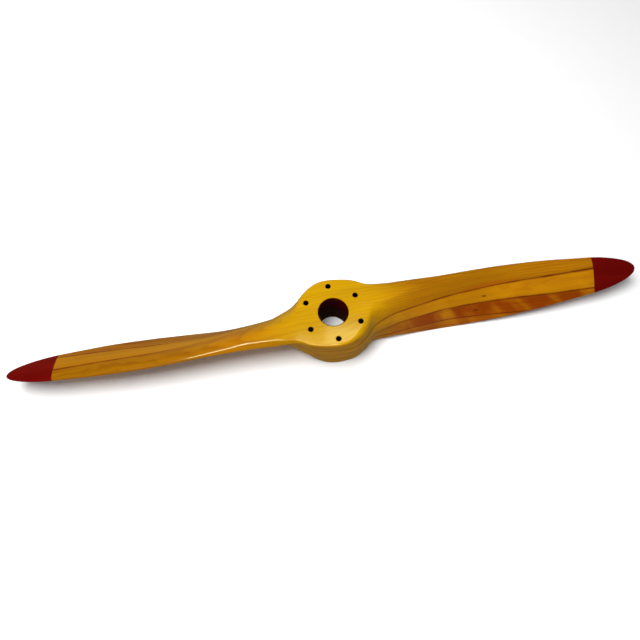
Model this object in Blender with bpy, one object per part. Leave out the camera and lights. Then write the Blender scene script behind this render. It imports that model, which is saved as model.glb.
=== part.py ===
"""Two-blade laminated wooden propeller, 1143 mm across, for a small piston engine.

Four boards are glued into one block and carved. The node list is the four boards,
the three glue lines between them, the maroon coat in the shaft bore and the two
red lacquer coats on the blade tips. Lengths below are in millimetres.

Frame: origin on the shaft axis at the rear hub face, which bolts to the engine.
+Z points forward, away from the engine, and +X runs along one blade. The other
blade is the first one turned half a turn about Z.
"""
import bmesh
import bpy
from math import asin, cos, pi, radians, sin, sqrt
from mathutils import Matrix, Vector

MM = 0.001

# ---------------------------------------------------------------- driving sizes
TIP_RADIUS = 571.5
HUB_THICKNESS = 79.0
HUB_RADIUS = 64.5
BORE_DIAMETER = 52.2
BOLT_CIRCLE_DIAMETER = 101.6
BOLT_HOLE_DIAMETER = 9.7
BOLT_COUNT = 6
FIRST_BOLT_ANGLE = 30.0
PAINT_RADIUS = 489.0

GLUE_HEIGHTS = (17.0, 36.8, 56.6)
GLUE_THICKNESS = 0.4
GAP = 0.3
COAT_THICKNESS = 0.5
CORE_INSET = COAT_THICKNESS + GAP
CORE_TIP_CLEARANCE = 16.0
COAT_TIP_CLEARANCE = 12.0
BORE_COAT_SETBACK = 0.2
DRILL_OVERRUN = 10.0

# Boards from the rear face forward, with their varnished colours.
BOARDS = (
    ("rear_board", (0.30, 0.075, 0.008)),
    ("second_board", (0.42, 0.16, 0.012)),
    ("third_board", (0.40, 0.17, 0.010)),
    ("front_board", (0.47, 0.24, 0.012)),
)

# ------------------------------------------------------------------- hub shape
RIM_SOFTNESS = 30.0
FOOT_RADIUS = 66.5
FOOT_SOFTNESS = 52.0
FOOT_TUCK = 2.5
FOOT_ROOT_WIDTH = 33.5
FOOT_BLEND = 10.0
SHOULDER_SOFTNESS = 48.0
SHOULDER_ROOT_WIDTH = 38.0
SHOULDER_BLEND = 22.0
FOOT_FLARE_LENGTH = 35.0
SHOULDER_FLARE_START = 10.0
SHOULDER_FLARE_LENGTH = 42.0
ROOT_START = 52.0
ROOT_END = 115.0
KNEE_SHARE = 0.6
FACE_EDGE = 5.5
ROOT_EDGE = 15.0
ROLL_START = 18.0
ROLL_LENGTH = 34.0
FOOT_EDGE = 1.5

# ----------------------------------------------------------------- blade shape
# radius, chord, pitch angle in degrees, thickness, height of the chord's middle
BLADE_STATIONS = (
    (40.0, 104.0, 26.0, 45.0, 42.0),
    (100.0, 98.0, 35.0, 31.0, 40.5),
    (125.0, 99.0, 38.8, 26.5, 39.3),
    (150.0, 100.5, 41.5, 22.5, 38.0),
    (200.0, 101.0, 43.2, 17.2, 35.6),
    (260.0, 99.0, 40.3, 12.5, 37.2),
    (320.0, 95.0, 36.0, 10.4, 39.0),
    (400.0, 84.0, 31.0, 9.0, 42.2),
    (480.0, 67.5, 28.0, 7.4, 44.5),
    (540.0, 58.0, 26.0, 6.2, 45.6),
    (576.0, 55.0, 24.5, 5.4, 46.5),
)
CHORD_OFFSET = 4.5
TIP_ROUNDING = 91.0
NOSE_RISE = 0.12
NOSE_LENGTH = 0.3
BLUNT_NOSE = 0.19
BLUNT_FADE = 6
BLUNT_FROM = 130.0
BLUNT_TO = 380.0
TRAILING_THICKNESS = 2.0
NOSE_TRIM = 1.2
TAIL_TRIM = 3.0
LEAST_HALF = 0.12

# ---------------------------------------------------------------- mesh fineness
HUB_STEPS = 8
ROOT_STEPS = 6
BLADE_STEPS = 10
TIP_STEPS = 6
ROUND_SEGMENTS = 40
BOLT_SEGMENTS = 14

WALL_POINTS = 4
TOP_POINTS = 3
REAR_POINTS = 3
FACE_CORNER_POINTS = 5
FOOT_CORNER_POINTS = 3

# Chord positions of the blade section's points, from 0 at the nose to 1 at the tail.
FRONT_TAIL = (0.92, 0.84, 0.76, 0.68)
FRONT_MIDDLE = (0.60, 0.55, 0.50, 0.44, 0.38)
FRONT_NOSE = (0.28, 0.18, 0.09)
NOSE_FRONT = (0.035, 0.009)
NOSE_REAR = (0.009, 0.035)
REAR_NOSE = (0.08, 0.16, 0.25, 0.34)
REAR_MIDDLE = (0.43, 0.50, 0.57)
REAR_TAIL = (0.68, 0.79, 0.90)


def material(name, colour, roughness):
    """A plain painted or varnished surface of one colour."""
    made = bpy.data.materials.new(name)
    made.use_nodes = True
    shader = made.node_tree.nodes["Principled BSDF"]
    shader.inputs["Base Color"].default_value = (*colour, 1.0)
    shader.inputs["Roughness"].default_value = roughness
    shader.inputs["Metallic"].default_value = 0.0
    return made


# -------------------------------------------------------------- smooth formulas
def ease(value):
    """0 below 0, 1 above 1, and a smooth S between."""
    value = min(1.0, max(0.0, value))
    return value * value * (3.0 - 2.0 * value)


def soft_circle(x, radius, softness):
    """Half width of a circle at x, running out gently past its end."""
    inside = radius * radius - x * x
    return sqrt(0.5 * (inside + sqrt(inside * inside + softness ** 4)))


def soft_max(first, second, blend):
    """The larger of two lengths, with a rounded change-over."""
    return 0.5 * (first + second + sqrt((first - second) ** 2 + blend * blend))


def blade_value(radius, column):
    """One column of BLADE_STATIONS at any radius, on a smooth cubic."""
    rows = BLADE_STATIONS
    last = len(rows) - 1
    place = 0
    while place < last - 1 and radius > rows[place + 1][0]:
        place += 1

    def slope(index):
        low = max(0, index - 1)
        high = min(last, index + 1)
        return (rows[high][column] - rows[low][column]) / (rows[high][0] - rows[low][0])

    start, end = rows[place], rows[place + 1]
    span = end[0] - start[0]
    part = (radius - start[0]) / span
    rise = slope(place) * span
    fall = slope(place + 1) * span
    square, cube = part * part, part ** 3
    return (start[column] * (2 * cube - 3 * square + 1) + rise * (cube - 2 * square + part)
            + end[column] * (3 * square - 2 * cube) + fall * (cube - square))


def tip_factor(radius):
    """Falls from 1 to 0 over the rounded tip, as a quarter of an ellipse."""
    part = (radius - (TIP_RADIUS - TIP_ROUNDING)) / TIP_ROUNDING
    part = min(1.0, max(0.0, part))
    return sqrt(1.0 - part * part)


# ------------------------------------------------------------------- hub section
def hub_corners(x):
    """The hub section's corners at x: foot, tail knee, rim, shoulder, nose knee, lower rim."""
    rim = soft_circle(x, HUB_RADIUS, RIM_SOFTNESS)
    foot = soft_max(soft_circle(x, FOOT_RADIUS, FOOT_SOFTNESS), FOOT_ROOT_WIDTH, FOOT_BLEND)
    shoulder = soft_max(soft_circle(x, HUB_RADIUS, SHOULDER_SOFTNESS),
                        SHOULDER_ROOT_WIDTH, SHOULDER_BLEND)
    foot_flare = ease(x / FOOT_FLARE_LENGTH)
    foot = rim + (foot - rim) * foot_flare
    tuck = FOOT_TUCK * foot_flare
    shoulder_flare = ease((x - SHOULDER_FLARE_START) / SHOULDER_FLARE_LENGTH)
    shoulder = rim + (shoulder - rim) * shoulder_flare
    return (Vector((tuck - foot, 0.0)), Vector((-foot, HUB_THICKNESS * KNEE_SHARE)),
            Vector((-rim, HUB_THICKNESS)), Vector((shoulder, HUB_THICKNESS)),
            Vector((shoulder, HUB_THICKNESS * (1.0 - KNEE_SHARE))), Vector((rim, 0.0)))


def rounded_corner(before, corner, after, edge, count):
    """Points on a rounded corner that starts and ends `edge` away from it."""
    start = corner + (before - corner).normalized() * edge
    end = corner + (after - corner).normalized() * edge
    points = []
    for index in range(count):
        part = index / (count - 1)
        points.append(start.lerp(corner, part).lerp(corner.lerp(end, part), part))
    return points


def between(start, end, count):
    """Evenly spaced points strictly between two points."""
    return [start.lerp(end, (index + 1) / (count + 1)) for index in range(count)]


def wall(foot, knee, rim, share, count):
    """Points up a side wall: straight to its knee, then leaning in to the rim.

    `share` is the knee's height as a share of the hub thickness.
    """
    points = []
    for index in range(count):
        height = (index + 1) / (count + 1)
        if height <= share:
            points.append(foot.lerp(knee, height / share))
        else:
            points.append(knee.lerp(rim, (height - share) / (1.0 - share)))
    return points


def hub_section(x):
    foot, tail_knee, rim, shoulder, nose_knee, lower_rim = hub_corners(x)
    foot_turn = rounded_corner(lower_rim, foot, tail_knee, FOOT_EDGE, FOOT_CORNER_POINTS)
    rim_edge = FACE_EDGE + (ROOT_EDGE - FACE_EDGE) * ease((x - ROLL_START) / ROLL_LENGTH)
    rim_turn = rounded_corner(tail_knee, rim, shoulder, rim_edge, FACE_CORNER_POINTS)
    shoulder_turn = rounded_corner(rim, shoulder, nose_knee, FACE_EDGE, FACE_CORNER_POINTS)
    lower_turn = rounded_corner(nose_knee, lower_rim, foot, FOOT_EDGE, FOOT_CORNER_POINTS)
    tail_wall = wall(foot_turn[-1], tail_knee, rim_turn[0], KNEE_SHARE, WALL_POINTS)
    nose_wall = wall(lower_turn[0], nose_knee, shoulder_turn[-1], 1.0 - KNEE_SHARE, WALL_POINTS)
    return (foot_turn + tail_wall + rim_turn
            + between(rim_turn[-1], shoulder_turn[0], TOP_POINTS)
            + shoulder_turn + nose_wall[::-1] + lower_turn
            + between(lower_turn[-1], foot_turn[0], REAR_POINTS))


# ----------------------------------------------------------------- blade section
def profile(part):
    """Half depth of a classic aerofoil, as a share of its greatest thickness."""
    return (1.4845 * sqrt(part) - 0.63 * part - 1.758 * part ** 2
            + 1.4215 * part ** 3 - 0.518 * part ** 4)


def blade_section(radius, inset):
    """Flat-backed aerofoil at one radius, `inset` smaller all round."""
    factor = tip_factor(radius)
    chord = blade_value(radius, 1) * factor
    pitch = radians(blade_value(radius, 2))
    thickness = blade_value(radius, 3) * factor
    tail = TRAILING_THICKNESS * factor
    rise_height = NOSE_RISE * thickness
    along = Vector((-cos(pitch), -sin(pitch)))
    outward = Vector((-sin(pitch), cos(pitch)))
    nose = Vector((CHORD_OFFSET, blade_value(radius, 4))) - along * (chord / 2.0)
    nose = nose - outward * (rise_height / 2.0)
    nose_trim = NOSE_TRIM * inset / chord
    tail_trim = TAIL_TRIM * inset / chord

    blunt = BLUNT_NOSE * (1.0 - ease((radius - BLUNT_FROM) / (BLUNT_TO - BLUNT_FROM)))
    def faces_at(part):
        """Heights of the rear and front faces, brought in by the inset."""
        rear = rise_height * max(0.0, 1.0 - part / NOSE_LENGTH) ** 2
        depth = profile(part) + blunt * sqrt(part) * (1.0 - part) ** BLUNT_FADE
        front = rear + 2.0 * thickness * depth + tail * part ** 2
        half = max((front - rear) / 2.0 - inset, min(LEAST_HALF, inset))
        middle = (front + rear) / 2.0
        return middle - half, middle + half

    def place(part, front_side):
        part = nose_trim + part * (1.0 - nose_trim - tail_trim)
        height = faces_at(part)[1 if front_side else 0]
        return nose + along * (chord * part) + outward * height

    tail_rear, tail_front = place(1.0, False), place(1.0, True)
    tail_end = (tail_rear + tail_front) / 2.0 + along * (tail / 3.0)
    points = [tail_rear, tail_end, tail_front]
    for part in FRONT_TAIL + FRONT_MIDDLE + FRONT_NOSE + NOSE_FRONT:
        points.append(place(part, True))
    nose_point = (place(0.0, False) + place(0.0, True)) / 2.0
    points.append(nose_point)
    for part in NOSE_REAR + REAR_NOSE + REAR_MIDDLE + REAR_TAIL:
        points.append(place(part, False))
    return points


def section(x, inset=0.0):
    """The propeller's section at x, hub blending into blade."""
    weight = ease((x - ROOT_START) / (ROOT_END - ROOT_START))
    if weight == 0.0:
        return hub_section(x)
    blade = blade_section(x, inset)
    mixed = [hub.lerp(point, weight) for hub, point in zip(hub_section(x), blade)]
    return [Vector((y, min(HUB_THICKNESS, max(0.0, z)))) for y, z in mixed]


# ---------------------------------------------------------------------- stations
def spread(start, end, steps):
    return [start + (end - start) * index / steps for index in range(steps)]


def inner_stations():
    """Radii from the axis to the paint line, close together round the hub."""
    last_angle = asin(ROOT_START / HUB_RADIUS)
    hub = [HUB_RADIUS * sin(angle) for angle in spread(0.0, last_angle, HUB_STEPS)]
    root = spread(ROOT_START, ROOT_END, ROOT_STEPS)
    blade = spread(ROOT_END, PAINT_RADIUS, BLADE_STEPS)
    return hub + root + blade


def tip_stations(clearance):
    """Radii from the paint line to the tip, closing up as the tip rounds off."""
    first = asin((PAINT_RADIUS - TIP_RADIUS + TIP_ROUNDING) / TIP_ROUNDING)
    last = asin((TIP_RADIUS - clearance - TIP_RADIUS + TIP_ROUNDING) / TIP_ROUNDING)
    radii = []
    for index in range(TIP_STEPS + 1):
        angle = first + (last - first) * index / TIP_STEPS
        radii.append(TIP_RADIUS - TIP_ROUNDING + TIP_ROUNDING * sin(angle))
    return radii


# ------------------------------------------------------------------------ meshes
def add_ring(mesh, x, points, side):
    """One closed ring of vertices across the blade; side -1 is the turned blade."""
    return [mesh.verts.new((side * x * MM, side * y * MM, z * MM)) for y, z in points]


def skin(mesh, rings):
    """Quads between rings, and a cap on each end."""
    count = len(rings[0])
    for lower, upper in zip(rings, rings[1:]):
        for index in range(count):
            following = (index + 1) % count
            mesh.faces.new((lower[index], lower[following], upper[following], upper[index]))
    mesh.faces.new(rings[0])
    mesh.faces.new(tuple(reversed(rings[-1])))
    bmesh.ops.recalc_face_normals(mesh, faces=mesh.faces)


def finish_object(name, mesh, paint):
    data = bpy.data.meshes.new(name)
    mesh.to_mesh(data)
    mesh.free()
    made = bpy.data.objects.new(name, data)
    bpy.context.scene.collection.objects.link(made)
    if paint:
        data.materials.append(paint)
    data.shade_smooth()
    data.set_sharp_from_angle(angle=radians(35.0))
    return made


def as_guide(made):
    made.hide_render = True
    made.display_type = "WIRE"
    return made


def turned_half(points):
    """A hub ring reordered so that the turned blade's points meet the first's."""
    reverse = list(reversed(points))
    return reverse[REAR_POINTS:] + reverse[:REAR_POINTS]


def carved_block():
    """The whole carved shape, with its tips inset for their lacquer."""
    stations = [(x, 0.0) for x in inner_stations()]
    stations.append((PAINT_RADIUS - GAP, 0.0))
    stations += [(x, CORE_INSET) for x in tip_stations(CORE_TIP_CLEARANCE)]
    stations[-TIP_STEPS - 1] = (PAINT_RADIUS - GAP, CORE_INSET)
    mesh = bmesh.new()
    rings = []
    for x, inset in reversed(stations[1:]):
        ring = add_ring(mesh, x, section(x, inset), -1)
        rings.append(turned_half(ring))
    for x, inset in stations:
        rings.append(add_ring(mesh, x, section(x, inset), 1))
    skin(mesh, rings)
    return as_guide(finish_object("carved_block_guide", mesh, None))


def tip_coat(name, side, paint):
    """Thin lacquer cap, open towards the hub, over one blade's tip."""
    mesh = bmesh.new()
    rings = []
    for x in reversed(tip_stations(COAT_THICKNESS / 4.0)):
        rings.append(add_ring(mesh, x, section(x), side))
    for x in tip_stations(COAT_TIP_CLEARANCE):
        rings.append(add_ring(mesh, x, section(x, COAT_THICKNESS), side))
    skin(mesh, rings)
    return finish_object(name, mesh, paint)


def cylinder(mesh, radius, bottom, top, segments, centre=(0.0, 0.0)):
    """Adds an upright cylinder to a mesh, turned off the mesh's own centre line."""
    made = bmesh.ops.create_cone(mesh, cap_ends=True, segments=segments, radius1=radius * MM,
                                 radius2=radius * MM, depth=(top - bottom) * MM)
    turn = Matrix.Rotation(pi / segments * 0.7, 3, "Z")
    bmesh.ops.rotate(mesh, verts=made["verts"], matrix=turn)
    middle = Vector((centre[0], centre[1], (top + bottom) / 2.0)) * MM
    bmesh.ops.translate(mesh, verts=made["verts"], vec=middle)


def drills():
    """One cutter for the shaft bore and the ring of bolt holes."""
    bottom, top = -DRILL_OVERRUN, HUB_THICKNESS + DRILL_OVERRUN
    mesh = bmesh.new()
    cylinder(mesh, BORE_DIAMETER / 2.0 + CORE_INSET, bottom, top, ROUND_SEGMENTS)
    for index in range(BOLT_COUNT):
        angle = radians(FIRST_BOLT_ANGLE + index * 360.0 / BOLT_COUNT)
        centre = Vector((cos(angle), sin(angle))) * (BOLT_CIRCLE_DIAMETER / 2.0)
        cylinder(mesh, BOLT_HOLE_DIAMETER / 2.0, bottom, top, BOLT_SEGMENTS, centre)
    return as_guide(finish_object("drill_guide", mesh, None))


def boolean(made, cutter, operation):
    step = made.modifiers.new(cutter.name, "BOOLEAN")
    step.operation = operation
    step.solver = "EXACT"
    step.object = cutter


def drilled_mesh(block):
    """The carved block with its bore and bolt holes cut, as a mesh."""
    boolean(block, drills(), "DIFFERENCE")
    graph = bpy.context.evaluated_depsgraph_get()
    return bpy.data.meshes.new_from_object(block.evaluated_get(graph))


def trim(mesh, height, keep_above):
    """Cuts the mesh flat at one height and closes the cut."""
    geometry = mesh.verts[:] + mesh.edges[:] + mesh.faces[:]
    cut = bmesh.ops.bisect_plane(mesh, geom=geometry, dist=1e-7, plane_co=(0, 0, height * MM),
                                 plane_no=(0, 0, 1), clear_inner=keep_above,
                                 clear_outer=not keep_above)
    edges = [item for item in cut["geom_cut"] if isinstance(item, bmesh.types.BMEdge)]
    bmesh.ops.triangle_fill(mesh, use_beauty=True, edges=edges, normal=(0, 0, 1))


def layer(name, drilled, bottom, top, paint):
    """One flat layer of the drilled block; a bottom or top of None is left uncut."""
    mesh = bmesh.new()
    mesh.from_mesh(drilled)
    if bottom is not None:
        trim(mesh, bottom, True)
    if top is not None:
        trim(mesh, top, False)
    bmesh.ops.recalc_face_normals(mesh, faces=mesh.faces)
    return finish_object(name, mesh, paint)


def bore_coat(paint):
    """Thin maroon coat on the wall of the shaft bore."""
    inner = BORE_DIAMETER / 2.0
    mesh = bmesh.new()
    cylinder(mesh, inner + COAT_THICKNESS, BORE_COAT_SETBACK,
             HUB_THICKNESS - BORE_COAT_SETBACK, ROUND_SEGMENTS)
    coat = finish_object("bore_sealer_coat", mesh, paint)
    mesh = bmesh.new()
    cylinder(mesh, inner, -DRILL_OVERRUN, HUB_THICKNESS + DRILL_OVERRUN, ROUND_SEGMENTS)
    boolean(coat, as_guide(finish_object("bore_coat_guide", mesh, None)), "DIFFERENCE")
    return coat


def build():
    for existing in list(bpy.data.objects):
        bpy.data.objects.remove(existing, do_unlink=True)

    drilled = drilled_mesh(carved_block())
    joint_half = GLUE_THICKNESS / 2.0 + GAP
    bottoms = [None] + [height + joint_half for height in GLUE_HEIGHTS]
    tops = [height - joint_half for height in GLUE_HEIGHTS] + [None]
    for (name, colour), bottom, top in zip(BOARDS, bottoms, tops):
        layer(name, drilled, bottom, top, material(name + "_wood", colour, 0.25))

    glue = material("dark_glue", (0.09, 0.018, 0.004), 0.4)
    for index, height in enumerate(GLUE_HEIGHTS):
        layer(f"glue_line_{index + 1}", drilled, height - GLUE_THICKNESS / 2.0,
              height + GLUE_THICKNESS / 2.0, glue)

    bore_coat(material("maroon_sealer", (0.025, 0.001, 0.001), 0.35))
    red = material("red_tip_lacquer", (0.12, 0.002, 0.003), 0.25)
    tip_coat("red_tip_coat_a", 1, red)
    tip_coat("red_tip_coat_b", -1, red)


build()
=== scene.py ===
# %% [markdown]
# # A two-blade laminated wooden propeller
# Four boards are glued into one thick blank, and the blank is carved: a flat round hub
# in the middle, and a twisted blade on each side of it. The carving cuts through the glue
# lines, so they show on the blades as thin dark curves. Red lacquer protects the tips,
# maroon sealer lines the shaft bore, and amber varnish covers the rest.
#
# The imported frame holds the true sizes. Everything below is modelled in the same place
# at a finer resolution, and each new piece takes the place of a plain solid, which is hidden.

# %% Load the imported frame
from math import asin, cos, pi, radians, sin, sqrt

import bmesh
import bpy
from mathutils import Matrix, Vector


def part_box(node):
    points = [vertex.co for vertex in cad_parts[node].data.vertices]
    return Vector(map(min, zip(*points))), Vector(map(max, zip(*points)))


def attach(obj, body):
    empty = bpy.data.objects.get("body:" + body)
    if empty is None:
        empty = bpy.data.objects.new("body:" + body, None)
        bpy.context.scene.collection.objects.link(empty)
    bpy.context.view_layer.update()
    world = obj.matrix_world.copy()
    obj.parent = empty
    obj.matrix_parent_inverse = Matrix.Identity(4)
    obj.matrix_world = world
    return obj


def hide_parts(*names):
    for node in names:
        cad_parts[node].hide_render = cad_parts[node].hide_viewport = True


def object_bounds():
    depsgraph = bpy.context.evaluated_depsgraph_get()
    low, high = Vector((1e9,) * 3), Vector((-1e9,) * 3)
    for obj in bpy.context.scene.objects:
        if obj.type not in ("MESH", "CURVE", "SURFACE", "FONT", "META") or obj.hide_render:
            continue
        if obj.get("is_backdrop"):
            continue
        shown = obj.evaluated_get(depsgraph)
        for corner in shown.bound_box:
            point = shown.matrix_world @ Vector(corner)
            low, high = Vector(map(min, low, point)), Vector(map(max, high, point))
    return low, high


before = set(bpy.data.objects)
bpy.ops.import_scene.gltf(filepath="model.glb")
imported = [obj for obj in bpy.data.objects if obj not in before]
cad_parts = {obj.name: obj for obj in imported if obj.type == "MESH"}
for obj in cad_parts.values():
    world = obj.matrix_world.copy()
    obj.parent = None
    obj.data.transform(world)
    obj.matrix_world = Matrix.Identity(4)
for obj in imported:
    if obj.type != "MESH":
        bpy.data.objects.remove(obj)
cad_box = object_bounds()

MM = 0.001
print("packed pieces:", ", ".join(sorted(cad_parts)))

# %% [markdown]
# ## The frame to keep to
# The origin is on the shaft axis at the rear hub face, +Z points forward and +X runs
# along one blade. The hub's thickness and the tip radius are read from the frame, so the
# fine model can't drift away from it. The propeller's lengths are in millimetres, and
# become metres when a vertex is made. The studio round it is measured in metres.

# %% Sizes read from the frame
HUB_THICKNESS = round((cad_box[1][2] - cad_box[0][2]) / MM, 3)
TIP_RADIUS = round(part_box("red_tip_coat_a")[1].x / MM, 1)
PAINT_RADIUS = round(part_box("red_tip_coat_a")[0].x / MM, 1)
print(f"hub {HUB_THICKNESS:.1f} mm thick, tips at {TIP_RADIUS:.1f} mm")
print(f"paint from {PAINT_RADIUS:.1f} mm outwards")

# %% [markdown]
# ## Three smooth formulas
# A carver fairs one shape into the next by eye. `ease` is the usual S curve, `soft_circle`
# is a circle that runs out gently where the blade leaves the hub, and `soft_max` rounds
# the change-over between two widths.

# %% Smooth formulas
def ease(value):
    value = min(1.0, max(0.0, value))
    return value * value * (3.0 - 2.0 * value)


def soft_circle(x, radius, softness):
    inside = radius * radius - x * x
    return sqrt(0.5 * (inside + sqrt(inside * inside + softness ** 4)))


def soft_max(first, second, blend):
    return 0.5 * (first + second + sqrt((first - second) ** 2 + blend * blend))


print("half way up the S curve:", ease(0.5))

# %% [markdown]
# ## The hub's cross-section
# At any distance x from the axis the hub's section is a four-sided shape with rounded
# corners: a flat front face, a flat rear face and two side walls that lean in a little
# past their knees. The foot of the trailing wall is tucked in, as the rear of the hub is
# carved smaller where it meets the blade. The front edge is crisp round the hub, and on
# the trailing side it opens into a wide, soft roll where the blade begins. The hub's
# radii are a hundredth of a millimetre under the plain model's, so that the fine hub
# stays inside it.

# %% Hub sizes and corners
HUB_RADIUS = 64.49
RIM_SOFTNESS = 30.0
FOOT_RADIUS = 66.49
FOOT_SOFTNESS = 52.0
FOOT_TUCK = 2.5
FOOT_ROOT_WIDTH = 33.5
FOOT_BLEND = 10.0
SHOULDER_SOFTNESS = 48.0
SHOULDER_ROOT_WIDTH = 38.0
SHOULDER_BLEND = 22.0
FOOT_FLARE_LENGTH = 35.0
SHOULDER_FLARE_START = 10.0
SHOULDER_FLARE_LENGTH = 42.0
KNEE_SHARE = 0.6
FACE_EDGE = 5.5
ROOT_EDGE = 15.0
ROLL_START = 18.0
ROLL_LENGTH = 34.0
FOOT_EDGE = 1.5


def hub_corners(x):
    """Foot, tail knee, rim, shoulder, nose knee and lower rim of the section at x."""
    rim = soft_circle(x, HUB_RADIUS, RIM_SOFTNESS)
    foot = soft_max(soft_circle(x, FOOT_RADIUS, FOOT_SOFTNESS), FOOT_ROOT_WIDTH, FOOT_BLEND)
    shoulder = soft_max(soft_circle(x, HUB_RADIUS, SHOULDER_SOFTNESS),
                        SHOULDER_ROOT_WIDTH, SHOULDER_BLEND)
    foot_flare = ease(x / FOOT_FLARE_LENGTH)
    foot = rim + (foot - rim) * foot_flare
    tuck = FOOT_TUCK * foot_flare
    shoulder_flare = ease((x - SHOULDER_FLARE_START) / SHOULDER_FLARE_LENGTH)
    shoulder = rim + (shoulder - rim) * shoulder_flare
    return (Vector((tuck - foot, 0.0)), Vector((-foot, HUB_THICKNESS * KNEE_SHARE)),
            Vector((-rim, HUB_THICKNESS)), Vector((shoulder, HUB_THICKNESS)),
            Vector((shoulder, HUB_THICKNESS * (1.0 - KNEE_SHARE))), Vector((rim, 0.0)))


print("hub half width on the axis:", round(hub_corners(0.0)[3].x, 2))

# %% [markdown]
# ## Points round the hub's section
# Every section has the same number of points in the same order, so that neighbouring
# sections can be bridged. They go round in eight stretches: foot corner, tail wall, rim
# corner, front face, shoulder corner, nose wall, lower corner and rear face. Corners are
# quadratic curves, which look like an edge eased with sandpaper.

# %% Points round the hub's section
FOOT_CORNER_POINTS = 7
FACE_CORNER_POINTS = 11
WALL_POINTS = 14
TOP_POINTS = 16
REAR_POINTS = 16


def rounded_corner(before, corner, after, edge, count):
    """A quadratic curve that leaves each side of the corner at `edge` from it."""
    start = corner + (before - corner).normalized() * edge
    end = corner + (after - corner).normalized() * edge
    points = []
    for index in range(count):
        part = index / (count - 1)
        points.append(start.lerp(corner, part).lerp(corner.lerp(end, part), part))
    return points


def between(start, end, count):
    """Points spread evenly between start and end, both left out."""
    return [start.lerp(end, (index + 1) / (count + 1)) for index in range(count)]


def wall(foot, knee, rim, share):
    """Straight up to the knee, which is at `share` of the height, then leaning in."""
    points = []
    for index in range(WALL_POINTS):
        height = (index + 1) / (WALL_POINTS + 1)
        if height <= share:
            points.append(foot.lerp(knee, height / share))
        else:
            points.append(knee.lerp(rim, (height - share) / (1.0 - share)))
    return points


def hub_section(x):
    """The whole section as one closed run of points, starting at the foot."""
    foot, tail_knee, rim, shoulder, nose_knee, lower_rim = hub_corners(x)
    foot_turn = rounded_corner(lower_rim, foot, tail_knee, FOOT_EDGE, FOOT_CORNER_POINTS)
    rim_edge = FACE_EDGE + (ROOT_EDGE - FACE_EDGE) * ease((x - ROLL_START) / ROLL_LENGTH)
    rim_turn = rounded_corner(tail_knee, rim, shoulder, rim_edge, FACE_CORNER_POINTS)
    shoulder_turn = rounded_corner(rim, shoulder, nose_knee, FACE_EDGE, FACE_CORNER_POINTS)
    lower_turn = rounded_corner(nose_knee, lower_rim, foot, FOOT_EDGE, FOOT_CORNER_POINTS)
    tail_wall = wall(foot_turn[-1], tail_knee, rim_turn[0], KNEE_SHARE)
    nose_wall = wall(lower_turn[0], nose_knee, shoulder_turn[-1], 1.0 - KNEE_SHARE)
    return (foot_turn + tail_wall + rim_turn
            + between(rim_turn[-1], shoulder_turn[0], TOP_POINTS)
            + shoulder_turn + nose_wall[::-1] + lower_turn
            + between(lower_turn[-1], foot_turn[0], REAR_POINTS))


print("points round each section:", len(hub_section(0.0)))

# %% [markdown]
# ## How the blade changes along its length
# A blade is described by a few stations, as on a maker's drawing: the chord (its width),
# the pitch angle, the thickness and the height of the chord's middle. A cubic curve
# through the stations gives every value in between. The pitch falls towards the tip,
# where the blade moves faster, and that fall is the twist that is seen.

# %% Blade stations
# radius, chord, pitch angle in degrees, thickness, height of the chord's middle
BLADE_STATIONS = (
    (40.0, 104.0, 26.0, 45.0, 42.0),
    (100.0, 98.0, 35.0, 31.0, 40.5),
    (125.0, 99.0, 38.8, 26.5, 39.3),
    (150.0, 100.5, 41.5, 22.5, 38.0),
    (200.0, 101.0, 43.2, 17.2, 35.6),
    (260.0, 99.0, 40.3, 12.5, 37.2),
    (320.0, 95.0, 36.0, 10.4, 39.0),
    (400.0, 84.0, 31.0, 9.0, 42.2),
    (480.0, 67.5, 28.0, 7.4, 44.5),
    (540.0, 58.0, 26.0, 6.2, 45.6),
    (576.0, 55.0, 24.5, 5.4, 46.5),
)
CHORD, PITCH, THICKNESS, HEIGHT = 1, 2, 3, 4


def blade_value(radius, column):
    """The smooth cubic curve through one column of the stations."""
    rows = BLADE_STATIONS
    last = len(rows) - 1
    place = 0
    while place < last - 1 and radius > rows[place + 1][0]:
        place += 1

    def slope(index):
        low = max(0, index - 1)
        high = min(last, index + 1)
        return (rows[high][column] - rows[low][column]) / (rows[high][0] - rows[low][0])

    start, end = rows[place], rows[place + 1]
    span = end[0] - start[0]
    part = (radius - start[0]) / span
    rise = slope(place) * span
    fall = slope(place + 1) * span
    square, cube = part * part, part ** 3
    return (start[column] * (2 * cube - 3 * square + 1) + rise * (cube - 2 * square + part)
            + end[column] * (3 * square - 2 * cube) + fall * (cube - square))


print(f"pitch at mid blade: {blade_value(290.0, PITCH):.1f} degrees")

# %% [markdown]
# ## The blade's cross-section
# The section is a flat-backed aerofoil: nearly flat behind, domed in front, with a round
# nose and a thin tail. `profile` is the classic aerofoil thickness formula. Near the hub
# the nose is blunter. `inset` makes the section smaller all round, which is how the wood
# leaves room for the lacquer on the tips.

# %% Aerofoil faces
CHORD_OFFSET = 4.5
TIP_ROUNDING = 91.0
NOSE_RISE = 0.12
NOSE_LENGTH = 0.3
BLUNT_NOSE = 0.19
BLUNT_FADE = 6
BLUNT_FROM = 130.0
BLUNT_TO = 380.0
TRAILING_THICKNESS = 2.0
NOSE_TRIM = 1.2
TAIL_TRIM = 3.0
LEAST_HALF = 0.12
THICKEST_AT = 0.3
MID_BLADE = 290.0


def tip_factor(radius):
    """Falls from 1 to 0 over the rounded tip, as a quarter of an ellipse."""
    part = (radius - (TIP_RADIUS - TIP_ROUNDING)) / TIP_ROUNDING
    part = min(1.0, max(0.0, part))
    return sqrt(1.0 - part * part)


def profile(part):
    """Half depth of an aerofoil, as a share of its greatest thickness."""
    return (1.4845 * sqrt(part) - 0.63 * part - 1.758 * part ** 2
            + 1.4215 * part ** 3 - 0.518 * part ** 4)


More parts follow.
